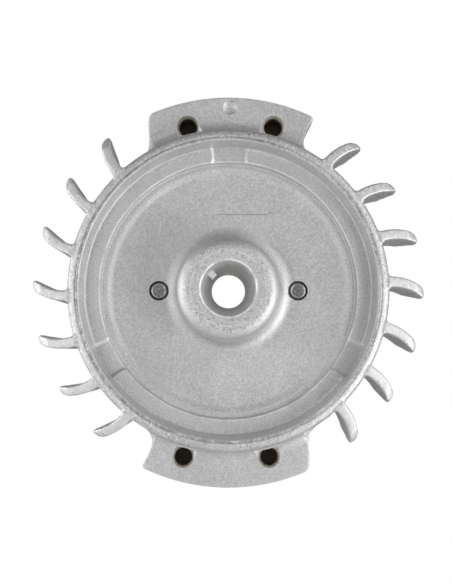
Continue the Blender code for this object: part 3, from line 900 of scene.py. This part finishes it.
def witness_line(paint):
    """1 along the witness outline's low side, corner and right side, in broken stretches, where the groove
    is painted darker.
    """
    left, right, low, high, corner = WITNESS
    across = paint.calc("SUBTRACT", paint.x, (right - corner) * MM)
    down = paint.calc("SUBTRACT", (low + corner) * MM, paint.z)
    outside = paint.distance(paint.calc("MAXIMUM", across, 0.0), paint.calc("MAXIMUM", down, 0.0))
    inside = paint.calc("MINIMUM", paint.calc("MAXIMUM", across, down), 0.0)
    line = paint.line(paint.calc("ADD", outside, inside), corner, 0.06, 0.22)
    line = paint.times(line, paint.fade(paint.x, left, left + 1.0), paint.fade(paint.z, high, high - 1.0))
    return paint.times(line, paint.ramp(paint.noise(1.6, 2.0, 0.5), 0.35, 0.6, 0.3, 1.0))


def casting_base(paint, grain):
    """The plain metal: fine grain over faint clouds."""
    cloud = paint.noise(9.0, 3.0, 0.5)
    fine = paint.ramp(grain, 0.3, 0.7, -0.12, 0.12)
    level = paint.calc("ADD", fine, paint.ramp(cloud, 0.3, 0.7, -0.02, 0.02))
    level = paint.calc("ADD", level, 0.6)
    return paint.add("ShaderNodeCombineColor", {0: level, 1: level, 2: level}).outputs[0]


def edge_wear_and_highlights(paint, radius, colour):
    """Bright edges, partly wear and partly painted highlight, and a painted highlight on the ledge's pocket
    ends and along its inner edge.
    """
    # Edges lightened: partly wear, partly painted highlight, with painted glints.
    glints = paint.ramp(paint.noise(0.55, 2.0, 0.5), 0.6, 0.72)
    bright_edges = paint.times(paint.edges(0.5), paint.calc("ADD", glints, 0.45))
    colour = paint.mix(bright_edges, colour, grey(0.86))
    # Painted highlight on the pocket ends, kept off the two lowest ends.
    colour = paint.mix(paint.times(pocket_end_highlight(paint, radius), 0.27), colour, grey(0.92))
    # Painted highlight: a broken bright line along the ledge's inner edge.
    step = paint.times(paint.line(radius, LAND_INNER_R + 0.05, 0.08, 0.28), paint.fade(paint.y, 12.5, 11.5),
                       paint.ramp(paint.noise(5.0, 3.0, 0.6), 0.35, 0.6, 0.1, 0.6))
    return paint.mix(step, colour, grey(0.92))


def grit(paint, radius, hub_face, colour):
    """Bright and dark grains on the rim's front, on the blades' front edges and on the hub's face."""
    rim = paint.times(paint.fade(radius, 37.1, 37.5), paint.fade(paint.y, 11.0, 8.0),
                      paint.fade(radius, 40.6, 39.6, 0.7, 1.0))
    bare = paint.calc("MAXIMUM", rim, paint.times(hub_face, 1.3))
    bright = paint.ramp(paint.noise(0.6, 3.0, 0.6), 0.53, 0.68)
    colour = paint.mix(paint.times(bright, bare, 0.6), colour, grey(0.92))
    dark = paint.ramp(paint.noise(0.75, 3.0, 0.6, paint.turned), 0.55, 0.68)
    return paint.mix(paint.times(dark, bare, 0.6), colour, grey(0.3, 0.02))


def rim_tone(paint, radius, colour):
    """Painted light on the outer rim and blades, most of all low down, and dark specks along the rim's seam.
    """
    # Painted light: the rim's outer face and the blades' fronts lightened, more so low down.
    painted_rim_light = paint.times(paint.fade(radius, 38.2, 38.8), paint.fade(paint.y, 11.0, 9.4),
                          paint.fade(paint.off(paint.z, 0.0), 37.5, 34.5),
                          paint.fade(paint.z, 20.0, -15.0, 0.1, 0.3),
                          paint.fade(radius, 39.8, 41.0, 0.3, 1.0))
    colour = paint.mix(painted_rim_light, colour, grey(0.85))
    seam = paint.times(paint.line(radius, SEAM_LINE_R, 0.15, 0.6), paint.fade(paint.y, 8.0, 7.2))
    patches = paint.ramp(paint.noise(1.0, 3.0, 0.65), 0.36, 0.6)
    stretches = paint.ramp(paint.noise(16.0, 2.0, 0.5), 0.36, 0.58, 0.25, 0.8)
    return paint.mix(paint.times(seam, patches, stretches), colour, grey(0.26, 0.05))


def bore_tone(paint, radius, colour):
    """The reamed cone: smooth and even, with painted shade deep inside and a broken painted highlight round
    its mouth.
    """
    bore = paint.times(paint.fade(radius, 7.1, 6.7), paint.fade(paint.y, 0.1, 0.5))
    colour = paint.mix(bore, colour, grey(0.78, 0.002))
    # Painted shade: the cone darker and warmer deep inside.
    deep_shade = paint.times(bore, paint.fade(paint.y, 8.0, 14.0))
    colour = paint.mix(deep_shade, colour, (0.68, 0.673, 0.64, 1.0))
    # Painted highlight: a broken bright line round the bore's mouth.
    mouth_highlight = paint.times(paint.line(radius, MOUTH_HIGHLIGHT_R, 0.12, 0.3), paint.fade(paint.y, 0.8, 0.4),
                      paint.ramp(paint.noise(2.4, 2.0, 0.5), 0.38, 0.56, 0.1, 0.8))
    return paint.mix(mouth_highlight, colour, grey(0.95))


def lug_hole_tone(paint, colour):
    """The holes in the lugs: painted light on the wall at the mouth, painted shade further in."""
    near_hole = paint.calc("MINIMUM", paint.near_pair(LUG_HOLES[0]), paint.near_pair(LUG_HOLES[1]))
    inside = paint.fade(near_hole, 2.9, 2.7)
    # Painted light: the wall at each hole's mouth lightened.
    hole_mouth_light = paint.times(inside, paint.fade(paint.y, 14.6, 15.0))
    colour = paint.mix(hole_mouth_light, colour, (0.9, 0.86, 0.79, 1.0))
    # Painted shade: the casting darkened deep in each hole.
    deep_shade = paint.times(inside, paint.fade(paint.y, 16.6, 17.4))
    return paint.mix(deep_shade, colour, (0.24, 0.2, 0.155, 1.0))


def cast_aluminium():
    """Blasted die casting with its worn, gritty and dark places, and with painted light, highlights and
    shade.
    """
    paint = Paint("cast_aluminium", (0.6, 0.6, 0.6), 0.55, 1.0)
    radius = paint.distance(paint.x, paint.z)
    hub_face = paint.fade(paint.y, 0.5, 0.1)
    grain = paint.noise(0.34, 3.0, 0.6)
    colour = casting_base(paint, grain)
    colour = edge_wear_and_highlights(paint, radius, colour)
    colour = grit(paint, radius, hub_face, colour)
    ring = paint.times(paint.line(radius, HUB_RING_R, 0.08, 0.25), hub_face,
                       paint.ramp(paint.noise(3.0, 2.0, 0.5), 0.4, 0.6, 0.0, 0.5))
    colour = paint.mix(ring, colour, grey(0.88))
    colour = rim_tone(paint, radius, colour)
    colour = paint.mix(paint.times(witness_line(paint), 0.55), colour, grey(0.3, 0.01))
    colour = bore_tone(paint, radius, colour)
    colour = lug_hole_tone(paint, colour)
    paint.use("Base Color", colour)
    paint.use("Roughness", paint.ramp(grain, 0.3, 0.7, 0.53, 0.67))
    relief = paint.calc("ADD", grain, paint.times(paint.noise(1.3, 2.0, 0.5), 0.5))
    paint.bump(relief, 0.05, 0.55)
    return paint.material


def lamination_steel():
    """Punched and varnished electrical steel, browned by rust in patches."""
    paint = Paint("lamination_steel", (0.13, 0.12, 0.11), 0.5, 0.7)
    rust = paint.ramp(paint.noise(1.8, 5.0, 0.65), 0.5, 0.66)
    fine = paint.noise(0.3, 3.0, 0.6)
    steel = paint.mix(fine, grey(0.1, 0.03), grey(0.2, 0.04))
    colour = paint.mix(rust, steel, (0.17, 0.085, 0.04, 1.0))
    bright_edges = paint.edges(0.25)
    colour = paint.mix(paint.times(bright_edges, 0.6), colour, grey(0.5, 0.02))
    paint.use("Base Color", colour)
    paint.use("Roughness", paint.ramp(rust, 0.0, 1.0, 0.4, 0.8))
    paint.bump(paint.calc("ADD", fine, rust), 0.03, 0.5)
    return paint.material


def magnet_ferrite():
    """Pressed and sintered ferrite: charcoal grey, finely pitted, with paler chipped edges."""
    paint = Paint("magnet_ferrite", (0.05, 0.05, 0.055), 0.6, 0.0)
    pits = paint.noise(0.35, 4.0, 0.7)
    colour = paint.mix(pits, grey(0.03), grey(0.085, -0.03))
    colour = paint.mix(paint.times(paint.edges(0.5), 0.5), colour, grey(0.2))
    paint.use("Base Color", colour)
    paint.use("Roughness", paint.ramp(pits, 0.3, 0.7, 0.5, 0.75))
    paint.bump(pits, 0.04, 0.5)
    return paint.material


def pawl_steel():
    """Blackened pawl steel, tumbled bright along its edges and finely scratched."""
    paint = Paint("pawl_steel", (0.09, 0.088, 0.085), 0.4, 1.0)
    stain = paint.noise(2.5, 4.0, 0.6)
    squeeze = {"Vector": paint.place, "Scale": (1.0, 1.0, 6.0)}
    scratches = paint.noise(0.8, 3.0, 0.7, paint.add("ShaderNodeMapping", squeeze).outputs[0])
    colour = paint.mix(stain, grey(0.07, 0.02), grey(0.17, 0.03))
    colour = paint.mix(paint.ramp(scratches, 0.58, 0.7, 0.0, 0.35), colour, grey(0.4))
    colour = paint.mix(paint.edges(0.35), colour, grey(0.5, 0.01))
    paint.use("Base Color", colour)
    paint.use("Roughness", paint.ramp(stain, 0.3, 0.7, 0.32, 0.52))
    paint.bump(paint.calc("ADD", scratches, stain), 0.02, 0.4)
    return paint.material


def spring_steel():
    """Drawn music wire: bright, with fine draw marks and a light tarnish."""
    paint = Paint("spring_steel", (0.45, 0.45, 0.44), 0.28, 1.0)
    tarnish = paint.noise(1.2, 3.0, 0.6)
    marks = paint.noise(0.12, 2.0, 0.5)
    colour = paint.mix(tarnish, grey(0.34, 0.02), grey(0.56, 0.01))
    paint.use("Base Color", colour)
    paint.use("Roughness", paint.ramp(marks, 0.3, 0.7, 0.22, 0.4))
    paint.bump(marks, 0.01, 0.3)
    return paint.material


def zinc_plated_steel():
    """Zinc plated screw: satin, clouded, a dull flecked disc on its point, brighter along its edges."""
    paint = Paint("zinc_plated_steel", (0.5, 0.5, 0.49), 0.38, 1.0)
    cloud = paint.noise(1.1, 4.0, 0.65)
    pits = paint.ramp(paint.noise(0.4, 3.0, 0.6), 0.56, 0.66)
    colour = paint.mix(cloud, grey(0.3, 0.01), grey(0.58, 0.01))
    on_point = paint.fade(paint.y, 13.4, 12.6)
    dull = paint.times(on_point, paint.fade(paint.near_pair((PIVOT_R, 0.0)), 1.5, 1.3))
    flecks = paint.ramp(paint.noise(0.3, 3.0, 0.6, paint.turned), 0.35, 0.65)
    colour = paint.mix(dull, colour, paint.mix(flecks, grey(0.16), grey(0.42)))
    colour = paint.mix(paint.times(pits, paint.calc("ADD", on_point, 0.15)), colour, grey(0.09, 0.02))
    colour = paint.mix(paint.edges(0.3), colour, grey(0.86))
    paint.use("Base Color", colour)
    paint.use("Roughness", paint.ramp(cloud, 0.3, 0.7, 0.34, 0.5))
    paint.bump(paint.calc("ADD", cloud, paint.noise(0.25, 2.0, 0.5)), 0.02, 0.4)
    return paint.material


def plain_paper():
    """The floor sheet: pale, matt and very slightly uneven. Its glow is only there for the camera."""
    paint = Paint("pale_floor", (0.9, 0.9, 0.9), 0.9, 0.0)
    paint.use("Base Color", paint.mix(paint.noise(400.0), grey(0.88), grey(0.92)))
    seen = paint.add("ShaderNodeLightPath", {}).outputs["Is Camera Ray"]
    paint.use("Emission Color", paint.mix(seen, grey(0.0), grey(0.4)))
    paint.shader.inputs["Emission Strength"].default_value = 1.0
    return paint.material


MATERIALS = (cast_aluminium, lamination_steel, magnet_ferrite, pawl_steel, spring_steel, zinc_plated_steel)
FINISHES = {make.__name__: make() for make in MATERIALS}


# ---------------------------------------------------------------- assembly

def finish_piece(piece, slot, node):
    """Gives a new piece its material and makes it stand for its CAD node."""
    piece.data.materials.clear()
    piece.data.materials.append(FINISHES[slot])
    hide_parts(node)


def place_casting():
    casting = build_casting()
    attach(casting, "wheel")
    finish_piece(casting, "cast_aluminium", "flywheel_casting")


def place_packs():
    magnet_holes = {"pole_right": LUG_HOLES[0], "pole_left": LUG_HOLES[1]}
    far_holes = half_turn(LUG_HOLES)
    centres = {**magnet_holes, "balance_left": far_holes[0], "balance_right": far_holes[1]}
    for pack, centre in centres.items():
        for i in range(1, 8):
            plate = pack_plate(f"{pack}_sheet_{i}", f"{pack}_plate_{i}", centre)
            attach(plate, "wheel")
            finish_piece(plate, "lamination_steel", f"{pack}_plate_{i}")


def place_magnet():
    low, high = box_mm("ignition_magnet")
    bm = bmesh.new()
    add_prism(bm, rectangle(low.x, high.x, low.z, high.z), low.y, high.y)
    magnet = smooth_shade(round_edges(make_object("magnet_block", bm), 0.35, 3), 50.0)
    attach(magnet, "wheel")
    finish_piece(magnet, "magnet_ferrite", "ignition_magnet")


def place_pawls():
    for side, sign, place in (("right", 1.0, lambda points: points), ("left", -1.0, half_turn)):
        arm = pawl(f"starter_pawl_{side}", f"pawl_{side}", place)
        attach(arm, f"pawl_{side}")
        finish_piece(arm, "pawl_steel", f"pawl_{side}")
        bolt = screw(f"shoulder_screw_{side}", sign)
        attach(bolt, "wheel")
        finish_piece(bolt, "zinc_plated_steel", f"pawl_screw_{side}")
        coil = spring(f"torsion_spring_{side}", sign)
        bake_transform(coil)
        finish_piece(coil, "spring_steel", f"pawl_spring_{side}")


place_casting()
place_packs()
place_magnet()
place_pawls()


# ---------------------------------------------------------------- stage

CAMERA_DISTANCE = 0.5
CAMERA_ELEVATION = math.radians(-2.7)
FRAME_WIDTH_AT_HUB = 110.378 * MM
CAMERA_TARGET = Vector((-0.0006, 0.0, -0.0009))
FLOOR_Z = -0.45
FLOOR_HALF = 3.9
WHITE = (1.0, 1.0, 1.0, 1.0)
SURROUND_BELOW = 0.6
SURROUND_ABOVE = 0.2


def add_camera():
    data = bpy.data.cameras.new("camera")
    data.sensor_fit = "HORIZONTAL"
    data.sensor_width = 36.0
    data.lens = data.sensor_width * CAMERA_DISTANCE / FRAME_WIDTH_AT_HUB
    camera = bpy.data.objects.new("camera", data)
    bpy.context.scene.collection.objects.link(camera)
    forward = Vector((0.0, math.cos(CAMERA_ELEVATION), -math.sin(CAMERA_ELEVATION)))
    camera.location = CAMERA_TARGET - forward * CAMERA_DISTANCE
    camera.rotation_euler = (math.pi / 2.0 - CAMERA_ELEVATION, 0.0, 0.0)
    bpy.context.scene.camera = camera


def add_area(name, location, size, power):
    data = bpy.data.lights.new(name, "AREA")
    data.shape = "RECTANGLE"
    data.size, data.size_y = size
    data.energy = power
    light = bpy.data.objects.new(name, data)
    bpy.context.scene.collection.objects.link(light)
    light.location = location
    aim = Vector((0.0, 0.01, 0.0)) - Vector(location)
    light.rotation_euler = aim.to_track_quat("-Z", "Y").to_euler()


def add_floor():
    bm = bmesh.new()
    corners = rectangle(-FLOOR_HALF, FLOOR_HALF, -FLOOR_HALF, FLOOR_HALF)
    bm.faces.new([bm.verts.new((x, y, FLOOR_Z)) for x, y in corners])
    mesh = bpy.data.meshes.new("floor")
    bm.to_mesh(mesh)
    bm.free()
    mesh.materials.append(plain_paper())
    floor = bpy.data.objects.new("floor", mesh)
    bpy.context.scene.collection.objects.link(floor)


def add_world():
    """A white backdrop for the camera, and a softer surround that is darker above for the metal."""
    world = bpy.data.worlds.new("studio")
    world.use_nodes = True
    tree = world.node_tree
    place = add_node(tree, "ShaderNodeTexCoord", {}).outputs["Generated"]
    height = add_node(tree, "ShaderNodeSeparateXYZ", {0: place}).outputs["Z"]
    level = add_node(tree, "ShaderNodeMapRange", {"Value": height, "From Min": -0.9, "From Max": 0.9,
                                                  "To Min": SURROUND_BELOW, "To Max": SURROUND_ABOVE},
                     interpolation_type="SMOOTHSTEP").outputs[0]
    surround = add_node(tree, "ShaderNodeBackground", {"Color": WHITE, "Strength": level}).outputs[0]
    backdrop = add_node(tree, "ShaderNodeBackground", {"Color": WHITE, "Strength": 1.0}).outputs[0]
    seen = add_node(tree, "ShaderNodeLightPath", {}).outputs["Is Camera Ray"]
    choose = add_node(tree, "ShaderNodeMixShader", {0: seen, 1: surround, 2: backdrop})
    tree.links.new(choose.outputs[0], tree.nodes["World Output"].inputs["Surface"])
    bpy.context.scene.world = world


add_camera()
add_floor()
add_world()
add_area("key_softbox", (0.56, -0.34, -0.20), (0.4, 0.4), 3.0)
add_area("high_right_softbox", (0.5, -0.3, 0.4), (0.4, 0.4), 1.0)
add_area("left_strip", (-0.65, -0.1, 0.0), (0.3, 0.6), 2.4)
add_area("front_left_softbox", (-0.5, -0.7, 0.0), (0.45, 0.6), 1.7)
add_area("front_right_softbox", (0.4, -0.75, 0.12), (0.4, 0.4), 0.35)
bpy.context.scene.view_settings.view_transform = "Standard"
